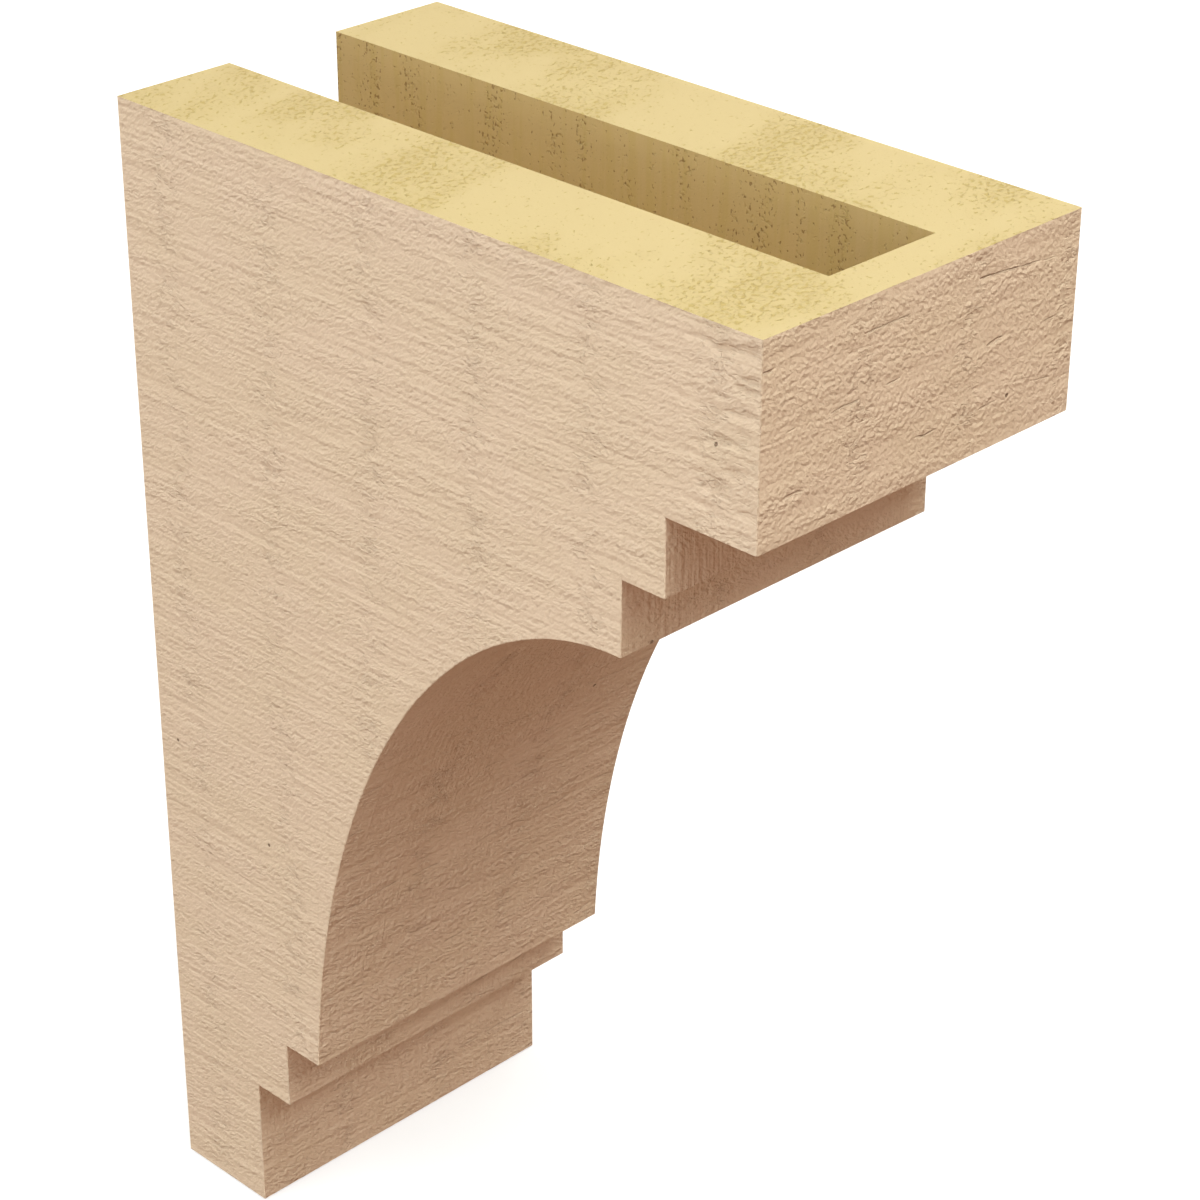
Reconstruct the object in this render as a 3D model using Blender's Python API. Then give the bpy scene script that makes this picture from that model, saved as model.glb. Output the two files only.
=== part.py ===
"""Corbel cast in one piece of rigid urethane foam, with a stepped and coved profile.

Frame: metres, +Z up, the width along X. The back face lies in the plane y = 0 and bears on the wall,
and the corbel projects along -Y. The origin is on the back face, at mid width and mid height.
"""
import math

import bmesh
import bpy

# driving sizes
WIDTH = 0.1524                      # 6 in, side to side
PROJECTION = 2 * WIDTH              # 12 in, from the wall to the fascia
HEIGHT = 3 * WIDTH                  # 18 in, from the underside of the foot to the top

# the profile is set out on a grid of sixteen equal steps each way
STEPS = 16
STEP_OUT = PROJECTION / STEPS
STEP_UP = HEIGHT / STEPS

# corners of the profile in steps: out from the wall, and up from the underside of the foot
FOOT_OUT = 2.5
FOOT_TOP = 2.0
LOWER_FILLET_OUT = 3.5
LOWER_FILLET_TOP = 3.0
COVE_FOOT_OUT = 4.5
COVE_HEAD_OUT = 13.0
COVE_HEAD_UP = 11.5
COVE_CENTRE_UP = 2.25               # the centre of the cove's ellipse is straight under its head
UPPER_FILLET_UP = 12.5
UPPER_FILLET_OUT = 14.0
FASCIA_FOOT_UP = 13.5
FASCIA_OUT = 16.0
COVE_FACETS = 48

# the slot for a fixing batten: the middle third of the width, open at the top and at the back
SLOT_WIDTH = WIDTH / 3
SLOT_OUT = 15.0                     # steps from the wall to its blind end
SLOT_DEPTH = 1.5                    # steps down from the top
CUTTER_OVERRUN = 0.02               # how far the cutter stands out of the top and of the back

# colours as linear values
SKIN_COLOUR = (0.68, 0.52, 0.38, 1.0)
FOAM_COLOUR = (0.83, 0.67, 0.33, 1.0)


def cove():
    """The hollow ellipse, nearly upright where it leaves the foot and level where it meets the head."""
    rise = COVE_HEAD_UP - COVE_CENTRE_UP
    start = math.asin((LOWER_FILLET_TOP - COVE_CENTRE_UP) / rise)
    reach = (COVE_HEAD_OUT - COVE_FOOT_OUT) / math.cos(start)
    points = []
    for i in range(COVE_FACETS + 1):
        turn = start + i / COVE_FACETS * (math.pi / 2 - start)
        points.append((COVE_HEAD_OUT - reach * math.cos(turn), COVE_CENTRE_UP + rise * math.sin(turn)))
    return points


def profile():
    """The side outline in steps, from the wall at the foot, out over the front and back to the wall at the top."""
    foot = [(0, 0), (FOOT_OUT, 0), (FOOT_OUT, FOOT_TOP)]
    lower_fillet = [(LOWER_FILLET_OUT, FOOT_TOP), (LOWER_FILLET_OUT, LOWER_FILLET_TOP)]
    upper_fillet = [(COVE_HEAD_OUT, UPPER_FILLET_UP), (UPPER_FILLET_OUT, UPPER_FILLET_UP)]
    fascia = [(UPPER_FILLET_OUT, FASCIA_FOOT_UP), (FASCIA_OUT, FASCIA_FOOT_UP), (FASCIA_OUT, STEPS), (0, STEPS)]
    return foot + lower_fillet + cove() + upper_fillet + fascia


def on_wall(out, up):
    """The place in the part's frame, at mid width, of a point given in steps."""
    return 0.0, -out * STEP_OUT, up * STEP_UP - HEIGHT / 2


def material(name, colour):
    finish = bpy.data.materials.new(name)
    finish.use_nodes = True
    shader = finish.node_tree.nodes["Principled BSDF"]
    shader.inputs["Base Color"].default_value = colour
    shader.inputs["Roughness"].default_value = 0.85
    shader.inputs["Metallic"].default_value = 0.0
    return finish


def slab(name, points, width):
    """A closed slab: the outline through the points, as thick as the width, centred on x = 0."""
    bm = bmesh.new()
    outline = [bm.verts.new(point) for point in points]
    bmesh.ops.translate(bm, verts=outline, vec=(-width / 2, 0, 0))
    face = bm.faces.new(outline)
    swept = bmesh.ops.extrude_face_region(bm, geom=[face])
    moved = [item for item in swept["geom"] if isinstance(item, bmesh.types.BMVert)]
    bmesh.ops.translate(bm, verts=moved, vec=(width, 0, 0))
    bmesh.ops.recalc_face_normals(bm, faces=bm.faces)
    mesh = bpy.data.meshes.new(name)
    bm.to_mesh(mesh)
    bm.free()
    obj = bpy.data.objects.new(name, mesh)
    bpy.context.scene.collection.objects.link(obj)
    return obj


def slot_cutter():
    """The space of the slot, run out past the top and the back."""
    floor = STEPS - SLOT_DEPTH
    past_back = -CUTTER_OVERRUN / STEP_OUT
    past_top = STEPS + CUTTER_OVERRUN / STEP_UP
    corners = [(past_back, floor), (SLOT_OUT, floor), (SLOT_OUT, past_top), (past_back, past_top)]
    cutter = slab("slot_cutter", [on_wall(out, up) for out, up in corners], SLOT_WIDTH)
    cutter.hide_render = True
    cutter.display_type = "WIRE"
    return cutter


def corbel():
    skin = material("primed_skin", SKIN_COLOUR)
    foam = material("raw_foam", FOAM_COLOUR)
    body = slab("corbel", [on_wall(out, up) for out, up in profile()], WIDTH)
    body.data.materials.append(skin)
    body.data.materials.append(foam)
    # the faces that go against the wall and the soffit are left as raw foam
    for face in body.data.polygons:
        if face.normal.y > 0.5 or face.normal.z > 0.5:
            face.material_index = 1
    cutter = slot_cutter()
    cutter.data.materials.append(foam)
    cut = body.modifiers.new("slot", "BOOLEAN")
    cut.operation = "DIFFERENCE"
    cut.solver = "EXACT"
    cut.material_mode = "TRANSFER"
    cut.object = cutter
    return body


for old in list(bpy.data.objects):
    bpy.data.objects.remove(old)
corbel()
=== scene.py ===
import math

import bmesh
import bpy
import numpy as np
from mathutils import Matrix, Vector
from mathutils.geometry import delaunay_2d_cdt
from mathutils.kdtree import KDTree


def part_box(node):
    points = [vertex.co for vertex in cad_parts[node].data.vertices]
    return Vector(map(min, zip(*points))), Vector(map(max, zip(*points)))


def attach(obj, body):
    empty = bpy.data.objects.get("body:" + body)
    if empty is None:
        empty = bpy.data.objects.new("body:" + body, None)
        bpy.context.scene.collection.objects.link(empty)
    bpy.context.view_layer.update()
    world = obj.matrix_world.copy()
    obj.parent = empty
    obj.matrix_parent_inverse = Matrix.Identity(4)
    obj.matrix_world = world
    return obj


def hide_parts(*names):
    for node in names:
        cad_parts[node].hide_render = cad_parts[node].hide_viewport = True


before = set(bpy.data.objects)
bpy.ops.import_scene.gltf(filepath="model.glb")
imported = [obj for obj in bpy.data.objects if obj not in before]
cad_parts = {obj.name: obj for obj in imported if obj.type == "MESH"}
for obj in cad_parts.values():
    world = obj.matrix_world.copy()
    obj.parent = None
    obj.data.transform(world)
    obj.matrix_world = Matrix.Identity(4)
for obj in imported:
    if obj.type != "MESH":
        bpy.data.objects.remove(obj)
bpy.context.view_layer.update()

# The casting's shape
# The corbel is one casting in rigid urethane foam, poured in an open mould taken from rough-sawn timber.
# Its stepped and coved profile runs square across the width. The slot for the fixing batten is the middle
# third of the width, open at the top and at the back.

low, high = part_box("corbel")
WIDTH = high.x - low.x
PROJECTION = high.y - low.y
HEIGHT = high.z - low.z
STEPS = 16                                  # the profile is set out in sixteen steps each way
STEP_OUT = PROJECTION / STEPS
STEP_UP = HEIGHT / STEPS
FOOT = [(0, 0), (2.5, 0), (2.5, 2), (3.5, 2), (3.5, 3)]
HEAD = [(13, 12.5), (14, 12.5), (14, 13.5), (16, 13.5), (16, 16)]
COVE_FOOT_OUT = 4.5
COVE_CENTRE = (13.0, 2.25)
COVE_RISE = 9.25                            # from the ellipse's centre to its head
COVE_START = math.asin((FOOT[-1][1] - COVE_CENTRE[1]) / COVE_RISE)
COVE_REACH = (COVE_CENTRE[0] - COVE_FOOT_OUT) / math.cos(COVE_START)
SLOT_HALF = WIDTH / 6
SLOT_OUT = 15 * STEP_OUT                    # from the wall to its blind end
SLOT_FLOOR = high.z - 1.5 * STEP_UP
ARRIS = 0.0003                              # the moulded arrises are eased by a third of a millimetre
ARRIS_TURN = 0.5                            # the profile has an arris where it turns by more than this sine
ARRIS_ANGLE = 0.5                           # and the finished surface where two faces turn by more radians

ALONG = 0.0025                              # cells of the sawn skin, along the grain
ACROSS = 0.0012                             # and across it
FOAM_CELL = 0.0040                          # cells of the raw foam, which is flat
JOIN = 1e-6                                 # points nearer than this are one

# how coarse, wavy, combed and checked each part of the skin is
ROUGHNESSES = ("coarse", "wavy", "combed", "checked")
SMOOTH = (0.0, 0.0, 0.0, 0.0)
SIDE_ROUGH = (0.92, 1.35, 0.25, 0.0)
FOOT_ROUGH = (1.20, 1.2, 1.0, 0.5)
HEAD_ROUGH = (0.95, 1.0, 1.0, 0.1)
FASCIA_ROUGH = (1.05, 0.50, 0.0, 1.0)
FRONT_LEVELS = (3, 7, 10, 13.4, 13.5)       # in steps up the front, from the foot's top to the fascia
FRONT_ROUGH = (FOOT_ROUGH, FOOT_ROUGH, HEAD_ROUGH, HEAD_ROUGH, FASCIA_ROUGH)


def cove_line():
    """The hollow ellipse as (out, up) in steps, from the foot to the head."""
    count = round(math.pi / 2 * COVE_REACH * (STEP_OUT + STEP_UP) / 2 / ACROSS)
    points = []
    for i in range(count + 1):
        turn = COVE_START + i / count * (math.pi / 2 - COVE_START)
        out = COVE_CENTRE[0] - COVE_REACH * math.cos(turn)
        up = COVE_CENTRE[1] + COVE_RISE * math.sin(turn)
        points.append((out, up))
    return points


def eased_profile():
    """The skin's profile as (out, up) in metres, from the wall under the foot to the top of the fascia."""
    corners = [np.array((out * STEP_OUT, up * STEP_UP)) for out, up in FOOT + cove_line() + HEAD]
    eased = [corners[0]]
    for before, corner, after in zip(corners, corners[1:], corners[2:]):
        coming = (corner - before) / np.linalg.norm(corner - before)
        going = (after - corner) / np.linalg.norm(after - corner)
        if coming[0] * going[1] - coming[1] * going[0] > ARRIS_TURN:
            eased += [corner - ARRIS * coming, corner + ARRIS * going]
        else:
            eased.append(corner)
    eased.append(corners[-1])
    run = [eased[0]]
    for start, end in zip(eased, eased[1:]):
        cells = max(1, round(np.linalg.norm(end - start) / ACROSS))
        run += [start + (end - start) * i / cells for i in range(1, cells + 1)]
    return np.array(run)


def inset(run):
    """The profile moved into the material by the width of an arris."""
    legs = np.diff(run, axis=0)
    inward = np.stack([-legs[:, 1], legs[:, 0]], 1) / np.linalg.norm(legs, axis=1)[:, None]
    before = np.vstack([inward[:1], inward])
    after = np.vstack([inward, inward[-1:]])
    share = 1 + (before * after).sum(1)
    return run + ARRIS * (before + after) / share[:, None]


def line(start, end, pitch):
    """Points from start up to end, with the end left out."""
    start = np.array(start, float)
    end = np.array(end, float)
    cells = max(1, round(np.linalg.norm(end - start) / pitch))
    return [start + (end - start) * i / cells for i in range(cells)]


def ring(corners, pitch):
    """The closed line through the corners, with a point every pitch."""
    points = []
    for start, end in zip(corners, corners[1:] + corners[:1]):
        points += line(start, end, pitch)
    return points


class Shell:
    """The surface as it is laid, patch by patch. Each face corner has its place in the grain."""

    def __init__(self):
        self.points = []
        self.faces = []
        self.grain = []
        self.rough = []
        self.raw = []
        self.patches = 0

    def lay(self, points, faces, grain, rough=SMOOTH, raw=0):
        """Adds a patch. Its grain starts a metre from the last one's, so that no two are alike."""
        first = len(self.points)
        self.patches += 1
        self.points += [tuple(point) for point in points]
        self.rough += [tuple(row) for row in np.broadcast_to(rough, (len(points), 4))]
        for face in faces:
            self.faces.append([first + i for i in face])
            self.grain += [(grain[i][0] + self.patches, grain[i][1]) for i in face]
            self.raw.append(raw)

    def flat(self, loop, normal, along, pitch, rough=SMOOTH, raw=0):
        """Fills a flat outline with cells of that pitch along and across the grain."""
        loop = np.array(loop)
        normal = np.array(normal, float)
        along = np.array(along, float)
        across = np.cross(normal, along)
        edge = np.stack([loop @ along / pitch[0], loop @ across / pitch[1]], 1)
        start = np.floor(edge.min(0))
        stop = np.ceil(edge.max(0))
        grid = np.stack(np.meshgrid(np.arange(start[0], stop[0] + 1), np.arange(start[1], stop[1] + 1)), -1)
        grid[:, :, 0] += 0.5 * (grid[:, :, 1] % 2)
        grid = grid.reshape(-1, 2)
        inner = grid[well_inside(grid, edge)]
        flat = [Vector(p) for p in np.vstack([edge, inner])]
        found, _, triangles, *_ = delaunay_2d_cdt(flat, [], [list(range(len(edge)))], 1, 1e-5)
        level = normal * (loop[0] @ normal)
        points = [level + along * (p.x * pitch[0]) + across * (p.y * pitch[1]) for p in found]
        grain = [(p.x * pitch[0], p.y * pitch[1]) for p in found]
        self.lay(points, triangles, grain, rough, raw)


def well_inside(points, edge):
    """Which points are inside the outline, at least half a cell from it."""
    inside = np.zeros(len(points), bool)
    clear = np.full(len(points), np.inf)
    for a, b in zip(edge, np.roll(edge, -1, axis=0)):
        if a[1] != b[1]:
            level = (a[1] > points[:, 1]) != (b[1] > points[:, 1])
            crossing = (b[0] - a[0]) * (points[:, 1] - a[1]) / (b[1] - a[1]) + a[0]
            inside ^= level & (points[:, 0] < crossing)
        clear = np.minimum(clear, ((points - a) ** 2).sum(1))
    return inside & (clear > 0.3)


def place(x, out, up):
    """The point that far across, out from the wall, and up from the underside of the foot."""
    return np.array((x, -out, low.z + up))


def lay_skin(shell, run):
    """The sawn skin: the two sides, the front from foot to fascia, and the eased arrises between them."""
    inner = inset(run)
    half = WIDTH / 2
    columns = np.linspace(-half + ARRIS, half - ARRIS, round((WIDTH - 2 * ARRIS) / ALONG) + 1)
    length = np.concatenate([[0], np.cumsum(np.linalg.norm(np.diff(run, axis=0), axis=1))])
    rows = len(run)
    across = len(columns)
    points = [place(x, *p) for p in run for x in columns]
    grain = [(-x, s) for s in length for x in columns]
    faces = [(i * across + k, i * across + k + 1, (i + 1) * across + k + 1, (i + 1) * across + k)
             for i in range(rows - 1) for k in range(across - 1)]
    up = np.repeat(run[:, 1], across) / STEP_UP
    rough = [np.interp(up, FRONT_LEVELS, shares) for shares in zip(*FRONT_ROUGH)]
    shell.lay(points, faces, grain, np.stack(rough, 1))
    for side in (-1, 1):
        strip = [place(side * (half - ARRIS), *p) for p in run] + [place(side * half, *p) for p in inner]
        turn = 1 if side < 0 else -1
        faces = [(i, i + 1, rows + i + 1, rows + i)[::turn] for i in range(rows - 1)]
        shell.lay(strip, faces, [(p[1], p[2]) for p in strip])
        top = line(place(side * half, PROJECTION - ARRIS, HEIGHT), place(side * half, 0, HEIGHT), ALONG)
        back = line(place(side * half, 0, HEIGHT), place(side * half, 0, ARRIS), ALONG)
        loop = [place(side * half, *p) for p in inner[:-1]] + top + back
        shell.flat(loop, (side, 0, 0), (0, 1, 0), (ALONG, ACROSS), SIDE_ROUGH)


POURED, SCREEDED, CORED = 1.0, 1.5, 2.0     # the raw foam on the top, on the back and in the slot


def lay_foam(shell):
    """The raw foam: the top, the back and the slot."""
    half = WIDTH / 2
    slot = SLOT_HALF
    back = 0.0
    blind = SLOT_OUT
    front = PROJECTION
    top = HEIGHT
    floor = SLOT_FLOOR - low.z
    cell = (FOAM_CELL, FOAM_CELL)
    upward, outward, across = (0, 0, 1), (0, 1, 0), (1, 0, 0)

    corners = [(-half, back), (-slot, back), (-slot, blind), (slot, blind), (slot, back), (half, back),
               (half, front - ARRIS), (half - ARRIS, front), (-half + ARRIS, front), (-half, front - ARRIS)]
    loop = ring([place(x, out, top) for x, out in corners], ALONG)
    shell.flat(loop, upward, across, cell, raw=POURED)

    corners = [(-half + ARRIS, 0), (half - ARRIS, 0), (half, ARRIS), (half, top), (slot, top),
               (slot, floor), (-slot, floor), (-slot, top), (-half, top), (-half, ARRIS)]
    loop = ring([place(x, back, up) for x, up in corners], ALONG)
    shell.flat(loop, outward, across, cell, raw=SCREEDED)

    for side in (-1, 1):
        corners = [(back, floor), (blind, floor), (blind, top), (back, top)]
        loop = ring([place(side * slot, out, up) for out, up in corners], ALONG)
        shell.flat(loop, (-side, 0, 0), upward, cell, raw=CORED)
    corners = [(-slot, floor), (slot, floor), (slot, top), (-slot, top)]
    loop = ring([place(x, blind, up) for x, up in corners], ALONG)
    shell.flat(loop, outward, upward, cell, raw=CORED)
    corners = [(-slot, back), (slot, back), (slot, blind), (-slot, blind)]
    loop = ring([place(x, out, floor) for x, out in corners], ALONG)
    shell.flat(loop, upward, across, cell, raw=CORED)


def casting_mesh():
    """The patches joined into one closed surface, with each point's distance from the nearest arris."""
    shell = Shell()
    lay_skin(shell, eased_profile())
    lay_foam(shell)
    mesh = bpy.data.meshes.new("corbel_casting")
    mesh.from_pydata(shell.points, [], shell.faces)
    mesh.uv_layers.new(name="grain").uv.foreach_set("vector", np.array(shell.grain, np.float32).ravel())
    for name, values in zip(ROUGHNESSES, zip(*shell.rough)):
        mesh.attributes.new(name, "FLOAT", "POINT").data.foreach_set("value", np.array(values, np.float32))
    mesh.attributes.new("raw", "FLOAT", "FACE").data.foreach_set("value", np.array(shell.raw, np.float32))
    bm = bmesh.new()
    bm.from_mesh(mesh)
    layers = [bm.verts.layers.float[name] for name in ROUGHNESSES]
    joined = bmesh.ops.find_doubles(bm, verts=bm.verts, dist=JOIN)["targetmap"]
    for vert, kept in joined.items():
        for layer in layers:
            kept[layer] = max(kept[layer], vert[layer])
    bmesh.ops.weld_verts(bm, targetmap=joined)
    bm.normal_update()
    turned = [edge for edge in bm.edges if edge.calc_face_angle(0.0) > ARRIS_ANGLE]
    arris = {vert.co.copy().freeze() for edge in turned for vert in edge.verts}
    tree = KDTree(len(arris))
    for i, point in enumerate(arris):
        tree.insert(point, i)
    tree.balance()
    inland = bm.verts.layers.float.new("inland")
    for vert in bm.verts:
        vert[inland] = tree.find(vert.co)[2]
    bm.to_mesh(mesh)
    bm.free()
    mesh.shade_smooth()
    mesh.set_sharp_from_angle(angle=math.radians(30))
    return mesh


# The sawn relief
# The mould took the face of the timber with it: the waves that the saw left along the grain, the chips and
# the upright bands of torn fibres, splinters at the top front of the sides, and on the fascia the checks
# where the timber had dried.

def add(tree, kind, inputs=None, **settings):
    """A node of that kind, with its settings made, and each input set or linked to the socket given."""
    made = tree.nodes.new(kind)
    for name, value in settings.items():
        setattr(made, name, value)
    for name, value in (inputs or {}).items():
        if isinstance(value, bpy.types.NodeSocket):
            tree.links.new(value, made.inputs[name])
        else:
            made.inputs[name].default_value = value
    return made


def calc(tree, operation, *values):
    return add(tree, "ShaderNodeMath", dict(enumerate(values)), operation=operation).outputs[0]


def times(tree, first, second):
    return calc(tree, "MULTIPLY", first, second)


def plus(tree, first, second):
    return calc(tree, "ADD", first, second)


def minus(tree, first, second):
    return calc(tree, "SUBTRACT", first, second)


def step(tree, value, start, end):
    """Nothing up to start, all from end on, and smooth between."""
    inputs = {"Value": value, "From Min": start, "From Max": end}
    return add(tree, "ShaderNodeMapRange", inputs, interpolation_type="SMOOTHSTEP").outputs[0]


def noise(tree, grain, along, across, detail=1.0, roughness=0.5, shift=0.0):
    """Plain noise whose features have about that length along the grain and that width across it."""
    cell = add(tree, "ShaderNodeCombineXYZ", {"X": along, "Y": across, "Z": 1.0}).outputs[0]
    where = add(tree, "ShaderNodeVectorMath", {0: grain, 1: cell}, operation="DIVIDE").outputs[0]
    where = add(tree, "ShaderNodeVectorMath", {0: where, 1: (shift, -shift, 0)}, operation="ADD").outputs[0]
    inputs = {"Vector": where, "Scale": 1.0, "Detail": detail, "Roughness": roughness}
    return add(tree, "ShaderNodeTexNoise", inputs, noise_dimensions="2D").outputs[0]


def parts(tree, vector):
    """A vector's X, Y and Z."""
    return add(tree, "ShaderNodeSeparateXYZ", {0: vector}).outputs


def moved(tree, grain, **by):
    """The grain moved by that much along X and Y."""
    away = add(tree, "ShaderNodeCombineXYZ", by).outputs[0]
    return add(tree, "ShaderNodeVectorMath", {0: grain, 1: away}, operation="ADD").outputs[0]


def wandering(tree, grain, reach, by):
    """The grain with its lines made to wander across by that much, over stretches of that reach."""
    drift = minus(tree, noise(tree, grain, reach, reach * 0.5), 0.5)
    return moved(tree, grain, Y=times(tree, drift, by))


def read(tree, name, kind="FLOAT"):
    return add(tree, "GeometryNodeInputNamedAttribute", {"Name": name}, data_type=kind).outputs[0]


RELIEF = {                                  # the tree's inputs, in metres
    "Wave Spacing": 0.0038,
    "Wave Depth": 0.00018,
    "Chip Length": 0.0055,
    "Chip Width": 0.0030,
    "Chip Depth": 0.00035,
    "Tear Spacing": 1 / 19,                 # a whole number to the metre, to fall alike on every patch
    "Tear Depth": 0.0007,
    "Gouge Depth": 0.0011,
    "Check Spacing": 0.022,
    "Check Depth": 0.0004,
    "Warp": 0.00012,
}
RELIEF_SEED = 3


def slanted(tree, grain, slope):
    """The grain with its lines turned to climb by that much."""
    at = parts(tree, grain)
    across = minus(tree, at["Y"], times(tree, at["X"], slope))
    return add(tree, "ShaderNodeCombineXYZ", {"X": at["X"], "Y": across}).outputs[0]


def seeded(tree, grain, seed):
    """The grain moved by whole metres, so that another seed gives another piece of timber."""
    return moved(tree, grain, X=seed, Y=seed)


def gouges(tree, grain):
    """Short deep splinters, a centimetre long: one in a splinter and nothing beside it."""
    bent = wandering(tree, grain, 0.05, 0.004)
    return step(tree, noise(tree, bent, 0.0150, 0.0034, detail=3.0, roughness=0.6, shift=4.6), 0.53, 0.64)


def torn_bands(tree, grain, spacing):
    """The upright bands in which the saw's teeth tore the fibres: one there and nothing between."""
    drift = minus(tree, noise(tree, grain, 0.2, 0.05, shift=8.8), 0.5)
    turns = plus(tree, calc(tree, "DIVIDE", parts(tree, grain)["X"], spacing), times(tree, drift, 0.25))
    swing = calc(tree, "COSINE", times(tree, plus(tree, turns, 0.42), 2 * math.pi))
    ragged = noise(tree, grain, 0.010, 0.006, detail=2.0, shift=3.4)
    return times(tree, step(tree, swing, 0.55, 0.95), step(tree, ragged, 0.46, 0.60))


def drying_checks(tree, grain, spacing, half_width):
    """Long thin cracks along the grain, broken here and there: one in a crack and nothing beside it."""
    bent = wandering(tree, wandering(tree, grain, 0.045, 0.009), 0.006, 0.0012)
    row = calc(tree, "FRACT", calc(tree, "DIVIDE", parts(tree, bent)["Y"], spacing))
    off = times(tree, calc(tree, "ABSOLUTE", minus(tree, row, 0.5)), spacing)
    crack = step(tree, off, half_width * 1.6, half_width * 0.4)
    broken = noise(tree, grain, 0.018, 0.008, detail=1.0, shift=9.1)
    return times(tree, crack, step(tree, broken, 0.54, 0.64))


def relief_tree(skin, foam):
    tree = bpy.data.node_groups.new("sawn_relief", "GeometryNodeTree")
    tree.interface.new_socket("Geometry", in_out="INPUT", socket_type="NodeSocketGeometry")
    for name in RELIEF:
        tree.interface.new_socket(name, in_out="INPUT", socket_type="NodeSocketFloat")
    tree.interface.new_socket("Seed", in_out="INPUT", socket_type="NodeSocketInt")
    tree.interface.new_socket("Geometry", in_out="OUTPUT", socket_type="NodeSocketGeometry")
    given = tree.nodes.new("NodeGroupInput").outputs
    result = tree.nodes.new("NodeGroupOutput")

    grain = seeded(tree, read(tree, "grain", "FLOAT_VECTOR"), given["Seed"])
    bent = wandering(tree, grain, 0.05, 0.004)
    position = add(tree, "GeometryNodeInputPosition").outputs[0]
    normal = add(tree, "GeometryNodeInputNormal").outputs[0]
    inland = read(tree, "inland")

    # the waves and the chips, which are shallow in some stretches and deep in others
    waves = noise(tree, bent, 0.06, given["Wave Spacing"], detail=1.0)
    waves = times(tree, minus(tree, waves, 0.5), given["Wave Depth"])
    length, width = given["Chip Length"], given["Chip Width"]
    chips = noise(tree, bent, length, width, detail=2.0, roughness=0.6, shift=5.3)
    chips = times(tree, minus(tree, chips, 0.5), given["Chip Depth"])
    stretch = {"Value": noise(tree, grain, 0.05, 0.03, shift=2.1),
               "From Min": 0.3, "From Max": 0.7, "To Min": 0.5, "To Max": 1.5}
    chips = times(tree, chips, add(tree, "ShaderNodeMapRange", stretch).outputs[0])

    # the torn bands, the splinters at the top front of the sides, and the drying checks
    fibres = step(tree, noise(tree, bent, 0.0050, 0.0026, detail=1.0, shift=6.6), 0.45, 0.65)
    tears = times(tree, torn_bands(tree, grain, given["Tear Spacing"]), fibres)
    tears = times(tree, tears, given["Tear Depth"])
    on_side = step(tree, calc(tree, "ABSOLUTE", parts(tree, normal)["X"]), 0.4, 0.6)
    at_front = step(tree, parts(tree, position)["Y"], low.y + 0.040, low.y + 0.012)
    at_top = step(tree, parts(tree, position)["Z"], high.z - 0.120, high.z - 0.020)
    gouged = times(tree, times(tree, at_front, on_side), at_top)
    splinters = times(tree, times(tree, gouges(tree, grain), gouged), given["Gouge Depth"])
    checks = times(tree, drying_checks(tree, grain, given["Check Spacing"], 0.0006), given["Check Depth"])
    checks = times(tree, checks, step(tree, read(tree, "checked"), 0.0, 1.0))

    # all of it, less beside the arrises, and the slight warp of the whole casting
    height = times(tree, plus(tree, waves, chips), read(tree, "wavy"))
    height = minus(tree, height, plus(tree, tears, checks))
    height = times(tree, height, step(tree, inland, 0.0003, 0.0045))
    height = minus(tree, height, times(tree, splinters, step(tree, inland, 0.0, 0.0020)))
    warp = add(tree, "ShaderNodeTexNoise", {"Vector": position, "Scale": 22.0, "Detail": 1.0}).outputs[0]
    warp = times(tree, minus(tree, warp, 0.5), given["Warp"])
    skinned = calc(tree, "LESS_THAN", read(tree, "raw"), 0.5)
    rise = times(tree, plus(tree, height, warp), skinned)
    offset = add(tree, "ShaderNodeVectorMath", {0: normal, "Scale": rise}, operation="SCALE").outputs[0]

    shape = given["Geometry"]
    # hollow is the depth of the relief, kept for the skin's painted shade in its hollows
    for name, value in (("hollow", calc(tree, "DIVIDE", height, -0.0005)), ("gouged", gouged)):
        inputs = {"Geometry": shape, "Name": name, "Value": value}
        stored = add(tree, "GeometryNodeStoreNamedAttribute", inputs, data_type="FLOAT", domain="POINT")
        shape = stored.outputs[0]
    shape = add(tree, "GeometryNodeSetPosition", {"Geometry": shape, "Offset": offset}).outputs[0]
    shape = add(tree, "GeometryNodeRealizeInstances", {"Geometry": shape}).outputs[0]
    shape = add(tree, "GeometryNodeSetMaterial", {"Geometry": shape, "Material": skin}).outputs[0]
    bare = calc(tree, "GREATER_THAN", read(tree, "raw"), 0.5)
    inputs = {"Geometry": shape, "Selection": bare, "Material": foam}
    shape = add(tree, "GeometryNodeSetMaterial", inputs).outputs[0]
    tree.links.new(shape, result.inputs[0])
    return tree


def dressed(mesh, skin, foam):
    """The casting with its relief in the mesh."""
    obj = bpy.data.objects.new("corbel_casting", mesh)
    bpy.context.scene.collection.objects.link(obj)
    tree = relief_tree(skin, foam)
    relief = obj.modifiers.new("sawn_relief", "NODES")
    relief.node_group = tree
    sockets = {item.name: item.identifier for item in tree.interface.items_tree if item.in_out == "INPUT"}
    for name, value in RELIEF.items():
        relief[sockets[name]] = value
    relief[sockets["Seed"]] = RELIEF_SEED
    evaluated = obj.evaluated_get(bpy.context.evaluated_depsgraph_get())
    finished = bpy.data.meshes.new_from_object(evaluated)
    finished.name = "corbel_casting"
    obj.modifiers.remove(relief)
    obj.data = finished
    return obj


# The skin
# The mould was primed tan before the pour, so the skin is a thin matt primer that shows every saw mark, with
# a few pinholes where bubbles broke. Its colour carries painted shade: darker in the hollows, the checks and
# the pinholes.

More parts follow.
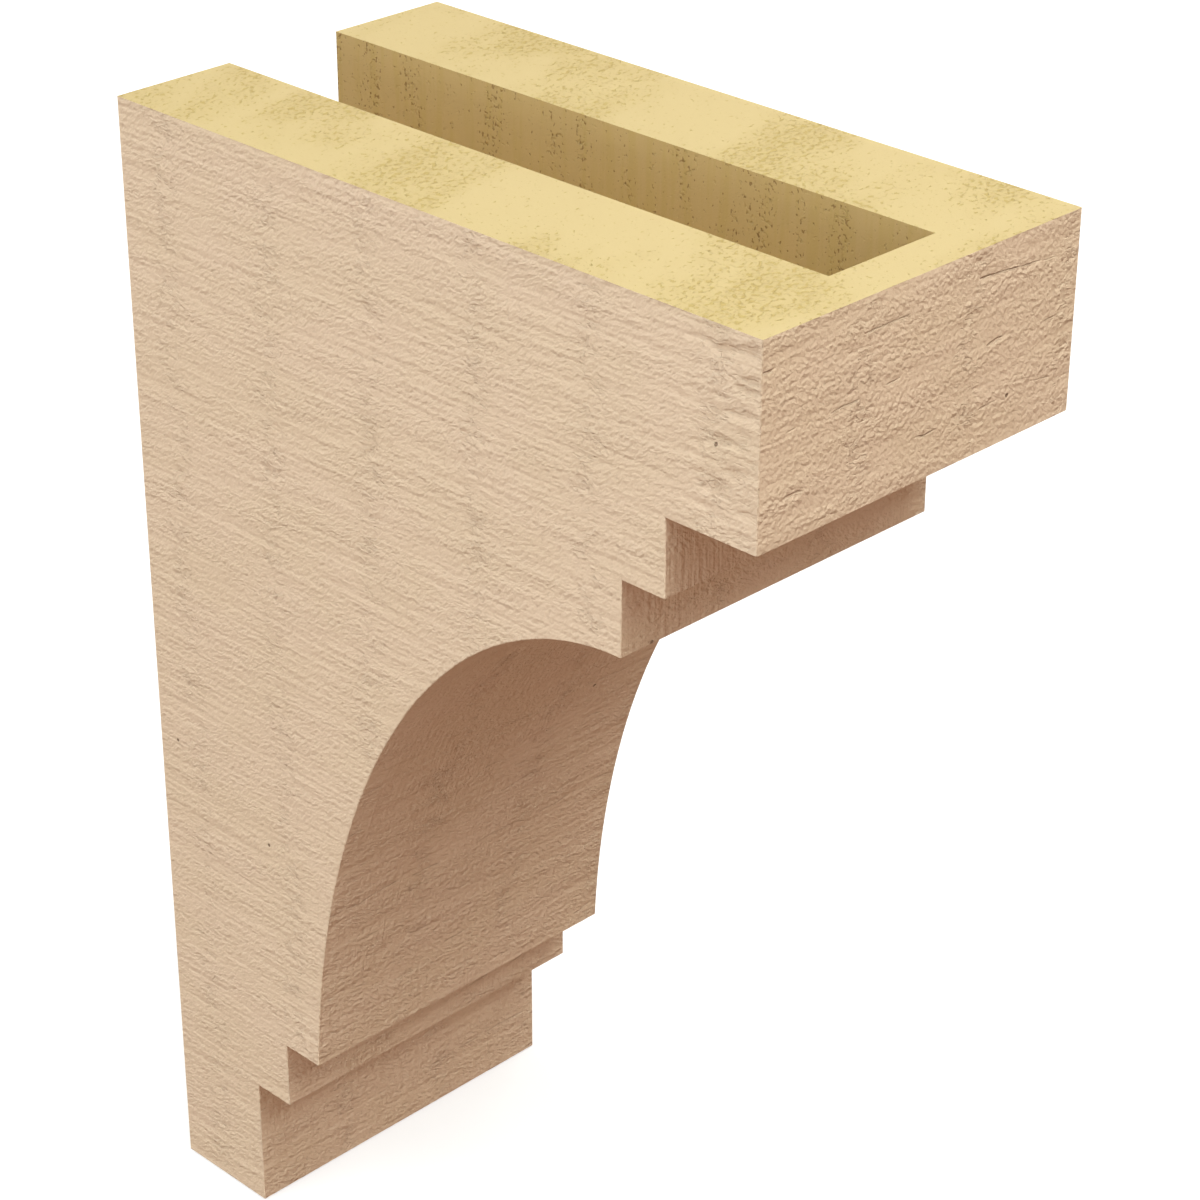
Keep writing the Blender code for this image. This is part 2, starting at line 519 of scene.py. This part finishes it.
TAN = (0.80, 0.62, 0.462, 1.0)
TAN_ROSY = (0.81, 0.625, 0.474, 1.0)
# the next two colours are painted shade: a darker tan for the hollows and checks, and a dark brown for the
# pinholes
TAN_SHADE = (0.50, 0.34, 0.23, 1.0)
HOLE_SHADOW = (0.22, 0.13, 0.08, 1.0)
CHIP_DEPTH = 0.00075                        # of the finest marks, which are bump alone, in metres
GRIT_DEPTH = 0.00018
LINE_DEPTH = 0.00042
CRESCENT_DEPTH = 0.00030
COMB_DEPTH = 0.00052
CRACK_DEPTH = 0.00060
SPLINTER_DEPTH = 0.00025
HOLE_DEPTH = 0.0006
HOLE_RADIUS = 0.00058
HOLES_APART = 0.055                         # one hole at most in each square of this side
HOLES_LEFT_OUT = 0.80                       # the share of the squares that have none


def new_material(name):
    material = bpy.data.materials.new(name)
    material.use_nodes = True
    tree = material.node_tree
    return material, tree, tree.nodes["Principled BSDF"]


def shader_read(tree, name):
    return add(tree, "ShaderNodeAttribute", attribute_name=name).outputs["Fac"]


def mix(tree, share, first, second):
    made = add(tree, "ShaderNodeMix", {"Factor": share}, data_type="RGBA")
    for socket, value in ((made.inputs[6], first), (made.inputs[7], second)):
        if isinstance(value, bpy.types.NodeSocket):
            tree.links.new(value, socket)
        else:
            socket.default_value = value
    return made.outputs[2]


def pinholes(tree, grain, apart, radius):
    """Sparse round holes left by bubbles: one at a hole and nothing elsewhere."""
    inputs = {"Vector": grain, "Scale": 1 / apart}
    cells = add(tree, "ShaderNodeTexVoronoi", inputs, voronoi_dimensions="2D")
    share = add(tree, "ShaderNodeSeparateColor", {"Color": cells.outputs["Color"]}).outputs[0]
    near = step(tree, cells.outputs["Distance"], 1.5 * radius / apart, 0.7 * radius / apart)
    return times(tree, near, calc(tree, "GREATER_THAN", share, HOLES_LEFT_OUT))


def scaled(tree, *terms):
    """The sum of each height times its depth."""
    total = None
    for value, depth in terms:
        part = times(tree, value, depth)
        total = part if total is None else plus(tree, total, part)
    return total


def bumped(tree, shader, height):
    bump = add(tree, "ShaderNodeBump", {"Strength": 1.0, "Distance": 1.0, "Height": height})
    tree.links.new(bump.outputs[0], shader.inputs["Normal"])


def skin_material():
    material, tree, shader = new_material("primed_skin")
    grain = seeded(tree, add(tree, "ShaderNodeUVMap", uv_map="grain").outputs[0], RELIEF_SEED)
    bent = wandering(tree, wandering(tree, grain, 0.05, 0.004), 0.012, 0.0018)
    slope = slanted(tree, bent, 0.35)
    coarse = shader_read(tree, "coarse")
    checked = shader_read(tree, "checked")

    # chips, which on the fascia are shorter and beaded
    on_fascia = step(tree, checked, 0.6, 0.9)
    chips = noise(tree, slope, 0.0026, 0.0017, detail=1.5, roughness=0.5, shift=4.4)
    chips = times(tree, chips, minus(tree, 1.0, on_fascia))
    splits = noise(tree, slope, 0.0022, 0.0018, detail=2.0, roughness=0.5, shift=1.9)
    inputs = {"Vector": grain, "Scale": 1 / 0.0021}
    beads = add(tree, "ShaderNodeTexVoronoi", inputs, voronoi_dimensions="2D").outputs["Distance"]
    splits = calc(tree, "MULTIPLY_ADD", beads, -0.40, calc(tree, "MULTIPLY_ADD", splits, 0.65, 0.33))
    chips = calc(tree, "MULTIPLY_ADD", splits, on_fascia, chips)
    grit = noise(tree, grain, 0.0012, 0.0011, detail=1.0, shift=7.7)
    stretch = {"Value": noise(tree, grain, 0.05, 0.009, detail=1.0, shift=6.1),
               "From Min": 0.3, "From Max": 0.7, "To Min": 0.65, "To Max": 1.35}
    busy = times(tree, add(tree, "ShaderNodeMapRange", stretch).outputs[0], coarse)
    sawn = times(tree, scaled(tree, (chips, CHIP_DEPTH), (grit, GRIT_DEPTH)), busy)

    # lines of the grain, crescents in the torn bands, combing, checks, splinters and pinholes
    lines = noise(tree, wandering(tree, grain, 0.08, 0.002), 0.060, 0.0026)
    lines = times(tree, lines, shader_read(tree, "wavy"))
    crescents = step(tree, noise(tree, bent, 0.0030, 0.0015, detail=1.0, shift=2.2), 0.60, 0.50)
    crescents = times(tree, crescents, torn_bands(tree, grain, RELIEF["Tear Spacing"]))
    patchy = step(tree, noise(tree, grain, 0.03, 0.03, shift=5.1), 0.40, 0.55)
    combs = noise(tree, grain, 0.0017, 0.03, detail=2.0, shift=2.9)
    combs = times(tree, combs, times(tree, shader_read(tree, "combed"), patchy))
    checks = times(tree, drying_checks(tree, grain, RELIEF["Check Spacing"], 0.0003), checked)
    splinters = times(tree, gouges(tree, grain), shader_read(tree, "gouged"))
    holes = pinholes(tree, grain, HOLES_APART, HOLE_RADIUS)
    marks = scaled(tree, (lines, LINE_DEPTH), (crescents, CRESCENT_DEPTH), (combs, COMB_DEPTH),
                   (checks, -CRACK_DEPTH), (splinters, -SPLINTER_DEPTH), (holes, -HOLE_DEPTH))
    bumped(tree, shader, plus(tree, sawn, marks))

    # two tans in clouds, with painted shade in the hollows, the checks and the pinholes
    cloud = step(tree, noise(tree, grain, 0.05, 0.03, detail=2.0, shift=1.1), 0.35, 0.65)
    colour = mix(tree, cloud, TAN, TAN_ROSY)
    # painted shade: the skin is darker where the chips are low
    deep = times(tree, step(tree, chips, 0.42, 0.25), 0.15)
    colour = mix(tree, times(tree, deep, coarse), colour, TAN_SHADE)
    # painted shade in the hollows of the relief
    hollow = times(tree, step(tree, shader_read(tree, "hollow"), 0.3, 2.0), 0.25)
    colour = mix(tree, hollow, colour, TAN_SHADE)
    # painted shade in the drying checks
    colour = mix(tree, times(tree, checks, 0.45), colour, TAN_SHADE)
    # painted shadow: the pinholes are painted dark brown
    colour = mix(tree, times(tree, holes, 0.8), colour, HOLE_SHADOW)
    tree.links.new(colour, shader.inputs["Base Color"])
    dull = add(tree, "ShaderNodeMapRange", {"Value": chips, "To Min": 0.78, "To Max": 0.95}).outputs[0]
    tree.links.new(dull, shader.inputs["Roughness"])
    shader.inputs["Specular IOR Level"].default_value = 0.25
    return material


# The raw foam
# The top, the slot and the back never touched the mould. They show the foam itself, pale yellow, with olive
# specks of broken cells in bands that the pour left. The slot, cut after, is pitted and streaked; its foam is
# painted darker than the top's, and the open cells are painted dark, most in the slot: both painted shade.

FOAM = (0.660, 0.520, 0.275, 1.0)
FOAM_OLIVE = (0.520, 0.375, 0.118, 1.0)
# the slot's foam is the top's foam darkened, which is painted shade, and the pit colour is painted shade in
# the open cells
FOAM_SHADED_IN_SLOT = (0.580, 0.418, 0.192, 1.0)
FOAM_PIT_SHADE = (0.220, 0.115, 0.045, 1.0)
CELL_DEPTH = 0.00010                        # of the foam's cells, specks and pits, in metres
SPECK_DEPTH = 0.00026
PIT_DEPTH = 0.00016


def foam_material():
    material, tree, shader = new_material("raw_foam")
    grain = add(tree, "ShaderNodeUVMap", uv_map="grain").outputs[0]
    pour = slanted(tree, grain, 0.2)
    raw = shader_read(tree, "raw")
    in_slot = step(tree, raw, SCREEDED + 0.1, CORED - 0.1)
    on_back = minus(tree, step(tree, raw, POURED + 0.1, SCREEDED - 0.1), in_slot)

    # bands of the pour, fainter on the back, and in the slot streaks in their place
    band = step(tree, noise(tree, pour, 0.11, 0.048, detail=3.0, roughness=0.6), 0.40, 0.68)
    band = times(tree, band, calc(tree, "MULTIPLY_ADD", on_back, -0.6, 1.0))
    band = times(tree, band, minus(tree, 1.0, in_slot))
    streak = step(tree, noise(tree, grain, 0.060, 0.012, detail=2.0, shift=1.7), 0.42, 0.66)
    band = plus(tree, band, times(tree, streak, times(tree, in_slot, 0.7)))

    # specks and pits, closer together in the bands
    edge = minus(tree, 0.71, times(tree, band, 0.18))
    broken = noise(tree, pour, 0.0025, 0.0019, detail=2.0, shift=3.3)
    specks = step(tree, minus(tree, broken, edge), -0.04, 0.12)
    open_cells = noise(tree, grain, 0.0017, 0.0014, detail=1.0, shift=5.5)
    pits = step(tree, minus(tree, open_cells, edge), 0.0, 0.14)
    runs = step(tree, noise(tree, grain, 0.050, 0.0040, detail=2.0, roughness=0.6, shift=9.4), 0.42, 0.68)

    # painted shade: the slot's foam is darker than the top's
    colour = mix(tree, in_slot, FOAM, FOAM_SHADED_IN_SLOT)
    share = calc(tree, "MULTIPLY_ADD", in_slot, -0.10, 0.20)
    colour = mix(tree, times(tree, band, share), colour, FOAM_OLIVE)
    share = calc(tree, "MULTIPLY_ADD", in_slot, -0.50, 0.60)
    colour = mix(tree, times(tree, specks, share), colour, FOAM_OLIVE)
    colour = mix(tree, times(tree, runs, times(tree, in_slot, 0.30)), colour, FOAM_OLIVE)
    # painted shade in the open cells, stronger in the slot
    share = calc(tree, "MULTIPLY_ADD", in_slot, 0.50, 0.10)
    colour = mix(tree, times(tree, pits, share), colour, FOAM_PIT_SHADE)
    tree.links.new(colour, shader.inputs["Base Color"])

    cells = noise(tree, grain, 0.0008, 0.0008, detail=2.0, shift=6.2)
    bumped(tree, shader, scaled(tree, (cells, CELL_DEPTH), (specks, -SPECK_DEPTH), (pits, -PIT_DEPTH)))
    dull = add(tree, "ShaderNodeMapRange", {"Value": cells, "To Min": 0.88, "To Max": 1.0}).outputs[0]
    tree.links.new(dull, shader.inputs["Roughness"])
    shader.inputs["Specular IOR Level"].default_value = 0.2
    return material


casting = dressed(casting_mesh(), skin_material(), foam_material())
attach(casting, "root")
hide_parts("corbel")

# The floor
# A plain pale studio floor just under the foot, and far off the plain pale walls of the studio.

FLOOR_GAP = 0.0005
STUDIO_REACH = 20.0
STUDIO_HEIGHT = 25.0
STUDIO_PALE = (0.55, 0.57, 0.60, 1.0)
STUDIO_GLOW = 0.60
level = low.z - FLOOR_GAP
plan = [(-1, -1), (1, -1), (1, 1), (-1, 1)]
corners = [(x * STUDIO_REACH, y * STUDIO_REACH, level + up) for up in (0, STUDIO_HEIGHT) for x, y in plan]
studio_mesh = bpy.data.meshes.new("studio_floor")
studio_mesh.from_pydata(corners, [], [(0, 1, 2, 3), (0, 4, 5, 1), (1, 5, 6, 2), (2, 6, 7, 3), (3, 7, 4, 0)])
floor = bpy.data.objects.new("studio_floor", studio_mesh)
bpy.context.scene.collection.objects.link(floor)
pale, pale_tree, pale_shader = new_material("studio_white")
pale_shader.inputs["Base Color"].default_value = STUDIO_PALE
pale_shader.inputs["Roughness"].default_value = 1.0
pale_shader.inputs["Specular IOR Level"].default_value = 0.0
pale_shader.inputs["Emission Color"].default_value = (1.0, 1.0, 1.0, 1.0)
pale_shader.inputs["Emission Strength"].default_value = STUDIO_GLOW
studio_mesh.materials.append(pale)
floor.visible_diffuse = False
floor.visible_glossy = False

# The light
# Two soft lights high in front, a steep one and a large one on the left that bring out the saw marks, weak
# ones low on the left, on the right and behind, and a dim warm room that fills the shade.

DAYLIGHT = (0.88, 0.98, 0.92)
COOL = (0.775, 0.96, 1.0)
ROOM = (1.0, 0.60, 0.41, 1.0)
ROOM_STRENGTH = 0.315
MIDDLE = (0.0, -0.15, 0.0)                  # where most of the lights point


def soft_light(name, where, at, width, height, power, colour=DAYLIGHT):
    light = bpy.data.lights.new(name, "AREA")
    light.color = colour
    light.shape = "RECTANGLE"
    light.size = width
    light.size_y = height
    light.energy = power
    lamp = bpy.data.objects.new(name, light)
    lamp.location = where
    lamp.rotation_mode = "QUATERNION"
    lamp.rotation_quaternion = (Vector(at) - Vector(where)).to_track_quat("-Z", "Y")
    lamp.visible_camera = False
    bpy.context.scene.collection.objects.link(lamp)


soft_light("high_front", (0.28, -1.21, 1.90), MIDDLE, 1.6, 1.6, 31.0)
soft_light("high_left", (-0.51, -1.41, 1.73), MIDDLE, 1.4, 1.4, 12.0)
soft_light("high_back_left", (-3.48, 1.15, 3.35), MIDDLE, 1.8, 1.8, 50.0, COOL)
soft_light("large_left", (-2.6, 0.35, 1.6), MIDDLE, 3.2, 3.0, 34.5, COOL)
soft_light("left", (-1.9, -0.95, 0.10), (0.0, -0.2, 0.0), 1.4, 1.05, 11.5)
soft_light("right", (2.0, 0.3, 0.4), MIDDLE, 1.6, 1.2, 18.0)
soft_light("behind", (0.3, 2.0, 0.5), MIDDLE, 1.6, 1.4, 21.0)
world = bpy.data.worlds.new("room")
bpy.context.scene.world = world
world.use_nodes = True
room = world.node_tree.nodes["Background"].inputs
room["Color"].default_value = ROOM
room["Strength"].default_value = ROOM_STRENGTH
bpy.context.scene.view_settings.view_transform = "Standard"

# The camera
# It stands at the photograph's place, looking down on the near side and the fascia. The photograph is cropped
# off the lens's centre, so the camera is shifted by as much.

PHOTO_WIDTH = 1200
AZIMUTH = math.radians(-44.949)
ELEVATION = math.radians(28.748)
EYE = Vector((-0.7450, -0.8983, 0.8401 + low.z))
FOCAL_PIXELS = 3304.4
CENTRE_PIXELS = (578.3, 660.0)

camera_data = bpy.data.cameras.new("camera")
camera = bpy.data.objects.new("camera", camera_data)
bpy.context.scene.collection.objects.link(camera)
level_out = math.cos(ELEVATION)
back = Vector((math.sin(AZIMUTH) * level_out, -math.cos(AZIMUTH) * level_out, math.sin(ELEVATION)))
camera.location = EYE
camera.rotation_mode = "QUATERNION"
camera.rotation_quaternion = (-back).to_track_quat("-Z", "Y")
camera_data.sensor_width = 36.0
camera_data.lens = FOCAL_PIXELS / PHOTO_WIDTH * camera_data.sensor_width
camera_data.shift_x = (PHOTO_WIDTH / 2 - CENTRE_PIXELS[0]) / PHOTO_WIDTH
camera_data.shift_y = (CENTRE_PIXELS[1] - PHOTO_WIDTH / 2) / PHOTO_WIDTH
bpy.context.scene.camera = camera
